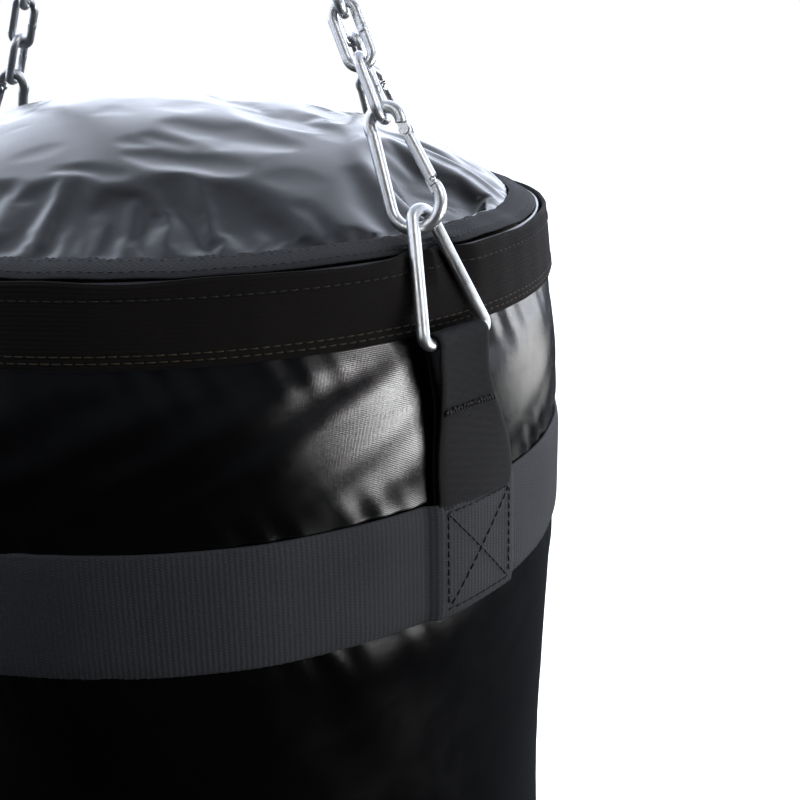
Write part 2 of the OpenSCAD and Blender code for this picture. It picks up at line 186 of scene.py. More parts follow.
def ring_legs(k):
    """The two legs of ring k: for each, angle and inner radius at LEG_LOW and at LEG_HIGH."""
    points = node_points(f"ring_{k + 1}")
    z = points[:, 2] - LIP
    radius = np.hypot(points[:, 0], points[:, 1])
    turn = angle_from(np.arctan2(points[:, 1], points[:, 0]), STRAP_ANGLES[k])
    middle = (turn[z > 10].min() + turn[z > 10].max()) / 2
    legs = []
    for side in (turn < middle, turn > middle):
        ends = []
        for height in LEG_ENDS:
            part = side & (abs(z - height) < LEG_END_REACH)
            place = np.array([turn[part].mean() + STRAP_ANGLES[k], radius[part].min()])
            ends.append((z[part].mean(), place))
        (z0, low), (z1, high) = ends
        legs.append([low + (high - low) * (height - z0) / (z1 - z0) for height in (LEG_LOW, LEG_HIGH)])
    return legs


RING_LEGS = [leg for k in range(LEGS) for leg in ring_legs(k)]


def leg_dent(theta, z, radius):
    """How far the surface has to give way to the rings' legs."""
    dent = 0 * theta * z
    share = np.clip((z - LEG_LOW) / (LEG_HIGH - LEG_LOW), -0.2, 1.3)
    for (foot_angle, foot_r), (top_angle, top_r) in RING_LEGS:
        line = foot_angle + (top_angle - foot_angle) * share
        limit = foot_r + (top_r - foot_r) * share - LEG_GAP
        depth = np.clip(radius - limit, 0, None)
        dent = np.maximum(dent, depth * bell(angle_from(theta, line) * radius, LEG_DENT_WIDTH))
    return dent


# ---------- radii of the wall and what is sewn to it ----------

# Height and radius of the vinyl wall, from the shoulder behind the band to the bottom lip
WALL_PROFILE = [
    (0, 168.0), (-3, 170.6), (-12, 171.6), (-28, 173.2),                # shoulder behind the band
    (-36, 174.9), (-52, 177.6), (-70, 178.7), (-88, 178.4),             # bulge between band and belt
    (-98, 177.7), (-123, 178.3), (-148, 178.4), (-158, 178.9),          # under the belt
    (-178, 176.8), (-205, 175.6), (-260, 174.8), (-420, 174.6),         # slightly narrower below it
    (-640, 175.2), (-860, 176.4), (-1040, 177.6), (-1140, 177.8),       # the filling settles lower down
    (-1175, 176.9), (BOTTOM, 175.6)]


def profile(z):
    """Radius of the wall at height z, with the corners of its profile rounded."""
    heights, radii = np.array(WALL_PROFILE[::-1], float).T
    spread = np.linspace(-6, 6, 13)
    return np.mean([np.interp(z + s, heights, radii) for s in spread], axis=0)


def wall_radius(theta, z):
    """The vinyl wall with its puckers at the seams, its pull at the straps and its broad lumps."""
    upper = smooth(z, BELT_HIGH - 6, BELT_HIGH + 12) * smooth(-z, 32, 44)
    below = smooth(-z, 150, 190)
    pull = sum(bell(angle_from(theta, a) * WALL_R, 34) for a in STRAP_ANGLES)
    soft = ring_waves(theta + z / 260, 5, 5, 13, 3) * 0.55 + ring_waves(theta - z / 90, 5, 14, 30, 4) * 0.22
    pucker = ring_waves(theta + z / 400, 6, 50, 105, 5) * 0.26
    near_seam = bell(z - BAND_LOW, 13) + bell(z - BELT_HIGH, 11) + 0.8 * bell(z - BELT_LOW, 14)
    near_seam = near_seam + bell(z - BOTTOM, 30)
    tucks = ring_waves(theta + z / 800, 4, 16, 34, 6) * 0.3 * bell(z + 172, 26)
    lumps = ring_waves(theta + z / 170, 4, 2, 6, 8) * 0.9 + ring_waves(theta - z / 240, 3, 3, 8, 9) * 0.5
    r = profile(z) + soft * (0.35 + 0.9 * upper) + pucker * near_seam + tucks + lumps * below
    return r - 0.9 * pull * upper


def band_radius(theta, z):
    """Outer face of the webbing band around the top."""
    flare = np.interp(z, [BAND_LOW, -24, -12, 0], [175.8, 175.3, 174.2, 173.0])
    sway = ring_waves(theta, 4, 3, 9, 11) * 0.35 + ring_waves(theta, 4, 14, 26, 12) * 0.14
    radius = flare + sway * smooth(z, BAND_LOW - 2, 2) + ring_waves(theta, 4, 30, 60, 13) * 0.07
    return radius - leg_dent(theta, z, radius)


STRAP_HALF = 23.0            # half the width of a strap at the belt
STRAP_TOP_HALF = 14.2        # half its width at the ring
STRAP_T = 1.75
BELT_T = 1.8
BAND_T = 2.3


def strap_step(theta, z):
    """Extra radius where the belt passes over the two layers of each strap."""
    rise = 0 * theta
    for a in STRAP_ANGLES:
        beside = abs(angle_from(theta, a)) * WALL_R
        rise = rise + (2 * STRAP_T - 0.2) * (1 - smooth(beside, STRAP_HALF - 1.5, STRAP_HALF + 5.5))
    return rise


def belt_radius(theta, z):
    """Outer face of the belt, before its weave."""
    edge = 0.7 * (bell(z - BELT_HIGH, 4) + bell(z - BELT_LOW, 4))
    sway = ring_waves(theta + z / 500, 4, 4, 11, 21) * 0.3 + ring_waves(theta, 4, 16, 34, 22) * 0.13
    return profile(0 * z - 123) + 0.25 + BELT_T + strap_step(theta, z) + sway - edge


# ---------- vinyl ----------

VINYL_T = 1.2


def make_wall():
    z = np.concatenate([
        np.linspace(-0.5, -34, 18), np.linspace(-36, -190, 104), np.linspace(-196, -1150, 120),
        np.linspace(-1155, BOTTOM + 3, 14)])[:, None]
    theta = np.linspace(0, 2 * math.pi, 720, endpoint=False)[None, :]
    radius = wall_radius(theta, z)
    radius = radius - leg_dent(theta, z, radius + 2.6) * smooth(z, BAND_LOW, BAND_LOW + 8)
    inner = radius - VINYL_T
    both = np.concatenate([radius, inner[[-1]], inner[[0]] - 0.4])
    heights = np.concatenate([z, z[[-1]], z[[0]] - VINYL_T])
    uv = np.stack([theta * WALL_R + 0 * both, heights + 0 * both], -1)
    faces = grid_faces(*both.shape, True, True, flip=True)
    wall = add_mesh("bag_wall", ring_points(theta + 0 * both, both, heights), faces, uv)
    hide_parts("side_shell")
    return wall


def disc_grid(count, radius):
    """A square grid bent into a disc, so that its cells keep about one size."""
    line = np.linspace(-1, 1, count)
    u, v = np.meshgrid(line, line, indexing="ij")
    x = u * np.sqrt(1 - v * v / 2) * radius
    y = v * np.sqrt(1 - u * u / 2) * radius
    return x, y


# The dent beside each hook: turn from its strap's middle in degrees, radius, and depth at each leg
BAY_TURN, BAY_R = 12.5, 138
BAY_DEPTHS = (9.5, 6.0, 7.5, 5.0)
LID_FOLDS = ((31, 1.7), (40, 1.3), (52, 0.9), (-33, 0.9))     # turn and height of the folds beside it


def lid_height(x, y):
    """The lid before its cloth simulation: a low dome with a dent beside each hook and soft folds."""
    r = np.hypot(x, y)
    theta = np.arctan2(y, x)
    z = RIM_Z + (LID_TOP + CROWN_LIFT - RIM_Z) * (1 - (r / RIM_R) ** 2)
    for k in range(LEGS):
        local = np.einsum("ij,j...->i...", quarter(k).T, np.stack([x, y, 0 * x]))
        turn = np.degrees(np.arctan2(local[1], local[0]))
        along = np.radians(turn - BAY_TURN) * BAY_R
        out = r - BAY_R - 2
        bowl = np.hypot(along / np.where(along < 0, 31, 40), out / np.where(out < 0, 34, 26))
        z = z - BAY_DEPTHS[k] * (1 - smooth(bowl, 0.42, 1.0)) * (1 - smooth(r, RIM_R - 9, RIM_R - 1))
        crease = 1.6 * bell(bowl - 1.1, 0.16) * smooth(-out, -6, 14)
        z = z + crease * bell(along, 50)
        for fold, height in LID_FOLDS:
            ridge = bell(np.radians(turn - fold) * r, 4.5) * smooth(r, 92, 128)
            z = z + height * ridge * (1 - smooth(r, RIM_R - 10, RIM_R))
    fade = 1 - smooth(r, RIM_R - 22, RIM_R - 2)
    z = z + waves(x, y, 5, 150, 90, 31) * fade + 0.22 * waves(x, y, 6, 60, 34, 32) * fade
    gathers = 0.2 * ring_waves(theta, 5, 30, 66, 33)
    return z + gathers * smooth(r, 118, 148) * (1 - smooth(r, RIM_R - 4, RIM_R))


def settle_cloth(piece, pinned, slack, pressure, frames, cap):
    """Runs a cloth simulation on a skin whose rim is held, and bakes the result into its mesh."""
    before = np.zeros(len(piece.data.vertices) * 3, np.float32)
    piece.data.vertices.foreach_get("co", before)
    group = piece.vertex_groups.new(name="held")
    group.add(np.nonzero(pinned)[0].tolist(), 1.0, "REPLACE")
    cloth = piece.modifiers.new("cloth", "CLOTH")
    settings = cloth.settings
    settings.quality = 6
    settings.mass = 0.6
    settings.tension_stiffness = settings.compression_stiffness = 40
    settings.shear_stiffness = 20
    settings.bending_stiffness = 4
    settings.air_damping = 3
    settings.vertex_group_mass = "held"
    settings.shrink_min = -slack
    settings.use_pressure = True
    settings.uniform_pressure_force = pressure
    settings.effector_weights.gravity = 0
    cloth.point_cache.frame_start, cloth.point_cache.frame_end = 1, frames
    for number in range(1, frames + 1):
        bpy.context.scene.frame_set(number)
    evaluated = piece.evaluated_get(bpy.context.evaluated_depsgraph_get())
    after = np.zeros(len(before), np.float32)
    evaluated.data.vertices.foreach_get("co", after)
    piece.modifiers.remove(cloth)
    piece.vertex_groups.remove(group)
    bpy.context.scene.frame_set(1)
    move = (after - before).reshape(-1, 3)
    length = np.linalg.norm(move, axis=1, keepdims=True)
    move = move * np.minimum(1, cap * MM / np.maximum(length, 1e-9))
    piece.data.vertices.foreach_set("co", before + move.astype(np.float32).ravel())
    piece.data.update()


def subdivide(piece):
    modifier = piece.modifiers.new("fine", "SUBSURF")
    modifier.levels = modifier.render_levels = 1


def make_lid():
    count = 131
    x, y = disc_grid(count, RIM_R + 3)
    z = lid_height(x, y) + LIP
    points = np.stack([x, y, z], -1)
    faces = grid_faces(count, count, False, False)
    lid = add_mesh("lid_skin", points, faces, np.stack([x, y], -1))
    rim = (np.hypot(x, y) > RIM_R - 1.5).ravel()
    settle_cloth(lid, rim, 0.018, 0.35, 14, 5)
    subdivide(lid)
    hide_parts("lid_panel")
    return lid


PAD_GAP, PAD_FOOT = 6.5, 7       # how far the pad lies under the lid, and its foot under the lip


def make_lid_pad():
    """The foam pad under the lid, which the chains' pull has dented with it."""
    count = 61
    x, y = disc_grid(count, RIM_R - 6)
    top = np.stack([x, y, lid_height(x, y) - PAD_GAP + LIP], -1).reshape(-1, 3)
    low = np.stack([x, y, 0 * x - PAD_FOOT + LIP], -1).reshape(-1, 3)
    skin = grid_faces(count, count, False, False)
    total = count * count
    edge = np.concatenate([np.arange(count), np.arange(1, count) * count + count - 1,
                           total - 2 - np.arange(count - 1), (count - 2 - np.arange(count - 2)) * count])
    after = np.roll(edge, -1)
    side = np.stack([after, edge, edge + total, after + total], -1)
    pad = add_mesh("lid_pad_foam", np.concatenate([top, low]),
                   np.concatenate([skin, skin[:, ::-1] + total, side]))
    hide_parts("lid_pad")
    return pad


def make_bottom():
    """The lower panel, which the filling pushes down a little."""
    count, radius = 71, WALL_R - 4.0
    x, y = disc_grid(count, radius)
    r = np.hypot(x, y)
    sag = 12 * (1 - (r / radius) ** 2)
    fade = 1 - smooth(r, WALL_R - 20, WALL_R - 5)
    z = BOTTOM + 13 - sag + waves(x, y, 6, 90, 40, 41) * 0.8 * fade + LIP
    theta = np.arctan2(y, x)
    z = z + ring_waves(theta, 5, 26, 60, 42) * 0.45 * smooth(r, 120, 158) * fade
    faces = grid_faces(count, count, False, False, flip=True)
    bottom = add_mesh("bottom_skin", np.stack([x, y, z], -1), faces, np.stack([x, y], -1))
    settle_cloth(bottom, (r > WALL_R - 6.5).ravel(), 0.012, -0.25, 10, 3)
    subdivide(bottom)
    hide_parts("bottom_panel")
    return bottom


# ---------- tapes, band and belt ----------

TWILL = 2.3          # pitch of the tapes' slanted ribs
TAPE_T = 1.1


def tape_sag(theta):
    return ring_waves(theta, 4, 6, 16, 52) * 0.35 + ring_waves(theta, 3, 24, 50, 53) * 0.16


def make_lid_tape():
    """Twill tape over the lid's seam, with a saw-toothed inner edge and slanted ribs."""
    width = TAPE_R - RIM_R

    def section(theta):
        under = [width + 0.5, width + 0.2, 0.2, -0.5]
        across = np.concatenate([np.linspace(-0.4, width, 22), under])[:, None]
        top = np.concatenate([np.ones(22), [0.45, 0, 0, 0.45]])[:, None]
        arc = theta * (RIM_R + width / 2)
        teeth = 0.35 * np.abs((arc / 1.3) % 2 - 1) + 0.25 * ring_waves(theta, 4, 60, 120, 51)
        across = across - teeth * bell(across, 1.5)
        fold = np.abs(across - width * 0.5)
        rib = np.abs(((arc + fold * 1.1) / TWILL * 2) % 2 - 1)
        sag = tape_sag(theta)
        crown = 0.5 * np.sin(np.clip(across / width, 0, 1) * math.pi)
        z = RIM_Z + 0.35 - across * math.tan(TAPE_SLOPE) + top * (TAPE_T + crown + 0.22 * rib) + sag
        edge = bell(across, 1.1) + bell(across - width, 1.1)
        radius = RIM_R + across + 0 * theta
        push = leg_dent(theta, 0 * radius, radius + BAND_T + 0.6)
        return radius - push, z - 0.45 * edge * top - 0.15 * push, across

    tape = section_ring("lid_tape", 2592, section, RIM_R + 5)
    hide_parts("lid_binding")
    return tape


def make_bottom_tape():
    """Twill tape folded over the wall's lower lip."""
    def section(theta):
        arc = theta * WALL_R
        steps = np.linspace(0, 1, 40)[:, None]
        corners = [0, 0.42, 0.47, 0.53, 0.58, 1]
        path_r = np.interp(steps, corners, [178.6, 178.5, 177.8, 174.6, 173.6, 173.6])
        path_z = np.interp(steps, corners, [13.5, 1.4, 0.2, 0.2, 1.4, 10])
        across = steps * 27
        rib = 0.2 * np.abs(((arc + np.abs(across - 6) * 1.1) / TWILL * 2) % 2 - 1)
        sway = ring_waves(theta, 4, 8, 22, 61) * 0.3 * (1 - steps)
        outside = np.where(steps < 0.5, 1, -1)
        return path_r + rib * outside + sway, BOTTOM + path_z + 0 * theta + sway * 0.5, across

    theta = np.linspace(0, 2 * math.pi, 1296, endpoint=False)[None, :]
    radius, z, across = section(theta)
    uv = np.stack([theta * WALL_R + 0 * radius, across + 0 * radius], -1)
    tape = add_mesh("bottom_tape", ring_points(theta + 0 * radius, radius, z),
                    grid_faces(*radius.shape, False, True, flip=True), uv)
    solid = tape.modifiers.new("thickness", "SOLIDIFY")
    solid.thickness, solid.offset = 1.0 * MM, 1
    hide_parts("bottom_binding")
    return tape


BAND_RIB = 1.6       # pitch of the ribs along the band


def make_band():
    """Webbing band with ribs along its length, sewn to the wall below and free at its lip."""
    rows = 74

    def section(theta):
        face = np.linspace(0, 1, rows)
        across = np.concatenate([face, [1.004], face[::-6], [-0.004]])[:, None]
        z = BAND_LOW * (1 - across)
        outer = np.concatenate([np.ones(rows), [0.5], np.zeros(len(face[::-6])), [0.5]])[:, None]
        radius = band_radius(theta, z)
        width = -BAND_LOW
        rib = 0.12 * np.cos(across * width / BAND_RIB * 2 * math.pi)
        weft = 0.05 * np.cos(theta * WALL_R / 1.05 * 2 * math.pi)
        weft = weft * np.sin(across * width / BAND_RIB * math.pi)
        rounding = 0.5 * (bell(across, 0.02) + bell(across - 1, 0.02))
        lip = ring_waves(theta, 4, 9, 24, 71) * 0.45 * across ** 2
        radius = radius + outer * (rib + weft - rounding) - (1 - outer) * (BAND_T - rounding)
        return radius, z + lip, across * width

    band = section_ring("band_webbing", 1620, section, WALL_R)
    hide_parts("top_band")
    return band


BELT_RIB, BELT_DOT = 2.0, 1.2      # pitch of the belt's upright ribs, and of the dots in them
BELT_RELIEF = 0.36


def weave(u, v, rib, dot):
    """Height of a ribbed basket weave, 0 to 1: upright ribs that break into staggered dots."""
    across = np.cos(u / rib * 2 * math.pi)
    shift = np.where(np.floor(u / rib + 0.5) % 2 == 0, 0.0, 0.5)
    along = np.cos((v / dot + shift) * 2 * math.pi)
    return np.clip(0.5 + 0.5 * across, 0, 1) ** 0.8 * (0.5 + 0.5 * along)


def make_belt():
    rows = 126
    columns = 2304
    ribs = round(2 * math.pi * WALL_R / BELT_RIB)

    def section(theta):
        face = np.linspace(0, 1, rows)
        across = np.concatenate([face, [1.003], face[::-18], [-0.003]])[:, None]
        outer = np.concatenate([np.ones(rows), [0.5], np.zeros(len(face[::-18])), [0.5]])[:, None]
        width = BELT_HIGH - BELT_LOW
        z = BELT_LOW + across * width
        cloth = weave(theta / (2 * math.pi) * ribs * BELT_RIB, across * width, BELT_RIB, BELT_DOT)
        rounding = 0.5 * (bell(across, 0.012) + bell(across - 1, 0.012))
        radius = belt_radius(theta, z) + outer * (BELT_RELIEF * cloth - rounding)
        radius = radius - (1 - outer) * (BELT_T - rounding)
        waver = ring_waves(theta, 4, 6, 18, 72) * 0.35
        return radius, z + waver, across * width

    belt = section_ring("belt_webbing", columns, section, WALL_R)
    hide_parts("strap_belt")
    return belt


# ---------- straps ----------

BAR_Z = -59.0        # bar tack that joins the two layers below the ring


def strap_facts(k):
    """Where the ring's lower wire lies in the quarter's own axes: its x, middle y and z."""
    local = node_points(f"ring_{k + 1}") @ quarter(k)
    low = local[local[:, 2] - LIP < RING_WIRE_Z - 0.5]
    return low[:, 0].mean(), (low[:, 1].min() + low[:, 1].max()) / 2, RING_WIRE_Z


def strap_path(count, x_ring, z_ring):
    """Side view of the doubled strap: up the front, over the wire and down the back."""
    wire = RING_WIRE_R + PLY + STRAP_T / 2
    front_x = np.interp(np.linspace(0, 1, count), [0, 0.30, 0.62, 1],
                        [181.9, 182.4, 182.9, x_ring + wire])
    front_z = np.linspace(BELT_LOW + 6, z_ring, count)
    turn = np.linspace(0, math.pi, 16)[1:-1]
    over_x, over_z = x_ring + wire * np.cos(turn), z_ring + wire * np.sin(turn)
    back_z = front_z[::-1]
    back_x = np.interp(-back_z, [-z_ring, -BAR_Z, 98, 150], [x_ring - wire, 180.55, 179.9, 180.0])
    return np.concatenate([front_x, over_x, back_x]), np.concatenate([front_z, over_z, back_z])


def strap_surface(k, s_x, s_z, share):
    """Points of strap k's middle layer, in the frame. share runs from -1 to 1 across its width."""
    x_ring, y_ring, z_ring = strap_facts(k)
    drop = smooth(-s_z, -z_ring + 12, 92)
    half = STRAP_TOP_HALF + (STRAP_HALF - STRAP_TOP_HALF) * drop
    centre = y_ring * (1 - smooth(-s_z, -z_ring, 98))
    y = centre + half * share
    on_wall = np.sqrt(np.clip(s_x ** 2 - y ** 2, 0, None))
    flat = s_x + 0 * y
    x = flat + (on_wall - flat) * smooth(-s_z, 40, 90)
    cup = 0.5 * share ** 2 * (1 - drop)
    return np.stack([x + cup, y, s_z + LIP + 0 * y], -1) @ quarter(k).T


def make_strap(k):
    count = 118
    x_ring, _, z_ring = strap_facts(k)
    s_x, s_z = strap_path(count, x_ring, z_ring)
    length = np.concatenate([[0], np.cumsum(np.hypot(np.diff(s_x), np.diff(s_z)))])
    columns = 40
    share = np.linspace(-1, 1, columns)[None, :]
    middle = strap_surface(k, s_x[:, None], s_z[:, None], share)
    along = np.gradient(middle, axis=0)
    side = np.gradient(middle, axis=1)
    normal = np.cross(side, along)
    normal /= np.linalg.norm(normal, axis=-1, keepdims=True)
    outward = middle[0, columns // 2] * [1, 1, 0]
    if (normal[0, columns // 2] * outward).sum() < 0:
        normal = -normal
    cloth = weave(length[:, None] + 0 * share, share * STRAP_HALF, 1.9, 1.3)
    edge = 0.5 * bell(1 - abs(share), 0.07)
    half_t = STRAP_T / 2
    front = middle + normal * (half_t + 0.22 * (cloth - 0.5) - edge)[..., None]
    back = middle - normal * (half_t - edge)[..., None]
    rows = len(s_x)
    points = np.concatenate([front, back[:, ::-1]], axis=1)
    faces = grid_faces(rows, 2 * columns, False, True)
    across = np.concatenate([share, share[:, ::-1]], 1) * STRAP_HALF
    uv = np.stack([across + 0 * length[:, None], 0 * across + length[:, None]], -1)
    faces = faces[:, ::-1] if k % 2 == 0 else faces
    strap = add_mesh(f"strap_{k + 1}_webbing", points, faces, uv)
    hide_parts(f"strap_{k + 1}")
    return strap


# ---------- stitching ----------


def thread(name, paths, radius=0.33, stitch=3.1, gap=0.9):
    """Rows of single stitches, which dip at their ends. Each path is (points, normals), in millimetres."""
    points, faces = [], []
    sides, rings = 6, 7
    for path, normals in paths:
        step = np.concatenate([[0], np.cumsum(np.linalg.norm(np.diff(path, axis=0), axis=1))])
        starts = np.arange(0, step[-1] - stitch, stitch + gap)
        for start in starts:
            t = np.linspace(0, 1, rings)
            where = start + t * stitch
            spine = np.stack([np.interp(where, step, path[:, i]) for i in range(3)], -1)
            up = np.stack([np.interp(where, step, normals[:, i]) for i in range(3)], -1)
            up /= np.linalg.norm(up, axis=1, keepdims=True)
            ahead = np.gradient(spine, axis=0)
            ahead /= np.linalg.norm(ahead, axis=1, keepdims=True)
            beside = np.cross(up, ahead)
            lift = 0.75 * radius * np.sin(np.pi * t) ** 0.7 - 0.6 * radius
            fat = radius * (0.55 + 0.45 * np.sin(np.pi * t))
            base = len(points)
            for i in range(rings):
                for j in range(sides):
                    a = 2 * math.pi * j / sides
                    off = fat[i] * (math.cos(a) * beside[i] + math.sin(a) * up[i])
                    points.append(spine[i] + up[i] * lift[i] + off)
            for i in range(rings - 1):
                for j in range(sides):
                    j2 = (j + 1) % sides
                    faces.append([base + i * sides + j, base + i * sides + j2,
                                  base + (i + 1) * sides + j2, base + (i + 1) * sides + j])
            for end in (0, rings - 1):
                cap = [base + end * sides + j for j in range(sides)]
                for j in range(1, sides - 1, 2):
                    four = [cap[0], cap[j], cap[j + 1], cap[(j + 2) % sides]]
                    faces.append(four[::-1] if end == 0 else four)
    return add_mesh(name, points, faces)


def around(radius_at, z, lift=0.2, start=0.0, stop=2 * math.pi, count=1440):
    theta = np.linspace(start, stop, count)
    height = z + 0 * theta
    radius = radius_at(theta, height) + lift
    normals = np.stack([np.cos(theta), np.sin(theta), 0 * theta], -1)
    return ring_points(theta, radius, height), normals


def on_belt(k, corners, lift=0.42):
    """A stitched line over the belt through corners given as (mm beside the strap's middle, height)."""
    corners = np.array(corners, float)
    pieces = [np.linspace(a, b, 60) for a, b in zip(corners[:-1], corners[1:])]
    flat = np.concatenate(pieces)
    sign = -1 if k % 2 else 1
    theta = STRAP_ANGLES[k] + sign * flat[:, 0] / (WALL_R + 6)
    radius = belt_radius(theta, flat[:, 1]) + lift
    normals = np.stack([np.cos(theta), np.sin(theta), 0 * theta], -1)
    return ring_points(theta, radius, flat[:, 1]), normals


def make_stitching():
    upper = thread("band_stitch_upper", [around(band_radius, -6.0)])
    lower = thread("band_stitch_lower", [around(band_radius, -25.0), around(band_radius, -27.4, start=0.01)])
    left, right, top, bottom = -19.5, 19.5, BELT_HIGH - 4, BELT_LOW + 4
    a, b, c, d = (left, top), (right, top), (right, bottom), (left, bottom)
    lines = ((a, c), (b, d), (a, d), (b, c), (a, b), (d, c))
    box = thread("belt_cross_stitch", [on_belt(k, line) for k in range(LEGS) for line in lines], radius=0.4)
    tacks = []
    for k in range(LEGS):
        x_ring, _, z_ring = strap_facts(k)
        for low, high in ((-1.6, 0.8), (0.8, -1.6), (-0.4, 1.4)):
            zigzag = np.tile([low, high], 11)[:20] + BAR_Z
            share = np.linspace(-0.92, 0.92, 20)
            front_x = np.interp(zigzag, [BELT_LOW, -98, z_ring], [182.2, 182.7, x_ring + 3.6])
            front_x = front_x + STRAP_T / 2
            path = np.array([strap_surface(k, x, z, s) for x, z, s in zip(front_x, zigzag, share)])
            out = quarter(k) @ np.array([1.0, 0, 0])
            tacks.append((path, np.tile(out, (20, 1))))
    tack = thread("strap_bar_tacks", tacks, radius=0.36, stitch=2.6, gap=0.5)
    hems = []
    for inset in (2.2, TAPE_R - RIM_R - 2.0):
        theta = np.linspace(0, 2 * math.pi, 1440)
        z = RIM_Z + 0.35 - inset * math.tan(TAPE_SLOPE) + TAPE_T + 0.3 + tape_sag(theta)
        normals = np.stack([np.cos(theta) * math.sin(TAPE_SLOPE), np.sin(theta) * math.sin(TAPE_SLOPE),
                            0 * theta + math.cos(TAPE_SLOPE)], -1)
        hems.append((ring_points(theta, RIM_R + inset + 0 * theta, z), normals))
    hem = thread("lid_tape_stitch", hems, radius=0.26, stitch=2.6)
    low = thread("bottom_tape_stitch", [around(lambda t, z: 178.6 + 0 * t, BOTTOM + 9.5, lift=0.95)])
    return (upper, box, tack, hem, low), lower


# ---------- weld beads on the chain links ----------


def islands(node):
    """The separate solids of a node, each as an array of its points."""
    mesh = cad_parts[node].data
    points = node_points(node)
    edges = np.zeros(len(mesh.edges) * 2, np.int32)
    mesh.edges.foreach_get("vertices", edges)
    _, same = np.unique(np.round(points, 3), axis=0, return_inverse=True)
    parent = np.arange(same.max() + 1)
    linked = same[edges.reshape(-1, 2)]
    while True:
        low = np.minimum(parent[linked[:, 0]], parent[linked[:, 1]])
        before = parent.copy()
        np.minimum.at(parent, linked[:, 0], low)
        np.minimum.at(parent, linked[:, 1], low)
        parent = parent[parent]
        if (parent == before).all():
            break
    group = parent[same]
    return [points[group == g] for g in np.unique(group)]


def make_welds(k):
    """A small uneven bead around one leg of every link, where its wire is welded shut."""
    draw = np.random.default_rng(90 + k)
    points, faces = [], []
    sides, rings = 14, 9
    for link in islands(f"chain_{k + 1}"):
        spread = link - link.mean(0)
        _, axes = np.linalg.eigh(spread.T @ spread)
        thin_axis, wide_axis, long_axis = axes.T
        along = link @ axes
        middle = (along.min(0) + along.max(0)) / 2
        wire, half_wide, _ = (along.max(0) - along.min(0)) / 2
        leg = 1 if draw.random() < 0.5 else -1
        spot = axes @ (middle + [0, leg * (half_wide - wire), 0])
        base = len(points)
        for i in range(rings):
            t = i / (rings - 1) * 2 - 1
            grow = wire * (0.96 + 0.17 * math.cos(t * math.pi / 2) ** 0.6)
            for j in range(sides):
                a = 2 * math.pi * j / sides
                rough = 1 + 0.035 * draw.standard_normal()
                off = grow * rough * (math.cos(a) * wide_axis + math.sin(a) * thin_axis)
                points.append(spot + long_axis * t * (2.1 + 0.25 * draw.standard_normal()) + off)
        for i in range(rings - 1):
            for j in range(sides):
                j2 = (j + 1) % sides
                faces.append([base + i * sides + j, base + i * sides + j2,
                              base + (i + 1) * sides + j2, base + (i + 1) * sides + j])
    welds = add_mesh(f"chain_{k + 1}_welds", points, faces)
    subdivide(welds)
    return welds


# ---------- materials ----------


class Nodes:
    """A small helper to build a material's node tree."""

    def __init__(self, name):
        self.material = bpy.data.materials.new(name)
        self.material.use_nodes = True
        self.tree = self.material.node_tree
        self.shader = self.tree.nodes["Principled BSDF"]

    def add(self, kind, **values):
        node = self.tree.nodes.new(kind)
        for key, value in values.items():
            if hasattr(node, key):
                setattr(node, key, value)
            else:
                node.inputs[key.replace("_", " ")].default_value = value
        return node

    def link(self, a, b):
        self.tree.links.new(a, b)

    def math(self, operation, a, b=None):
        node = self.add("ShaderNodeMath", operation=operation)
        for i, value in enumerate((a, b)):
            if value is None:
                continue
            if isinstance(value, (int, float)):
                node.inputs[i].default_value = value
            else:
                self.link(value, node.inputs[i])
        return node.outputs[0]

    def place(self):
        return self.add("ShaderNodeTexCoord").outputs["Object"]

    def cloth(self):
        """The cloth's own coordinates, in hundreds of millimetres."""
        return self.add("ShaderNodeTexCoord").outputs["UV"]

    def noise(self, where, scale, detail=4.0, roughness=0.55):
        node = self.add("ShaderNodeTexNoise", Scale=scale, Detail=detail, Roughness=roughness)
        self.link(where, node.inputs["Vector"])
        return node.outputs["Fac"]

    def ramp(self, value, stops):
        node = self.add("ShaderNodeValToRGB")
        while len(node.color_ramp.elements) < len(stops):
            node.color_ramp.elements.new(0.5)
        for element, (position, colour) in zip(node.color_ramp.elements, stops):
            element.position = position
            element.color = (*colour, 1) if len(colour) == 3 else colour
        self.link(value, node.inputs["Fac"])
        return node.outputs["Color"]

    def bump(self, height, strength, distance, normal=None):
        node = self.add("ShaderNodeBump", Strength=strength, Distance=distance)
        self.link(height, node.inputs["Height"])
        if normal is not None:
            self.link(normal, node.inputs["Normal"])
        return node.outputs["Normal"]


def grey(level, tint=(1, 1, 1)):
    return tuple(level * t for t in tint)


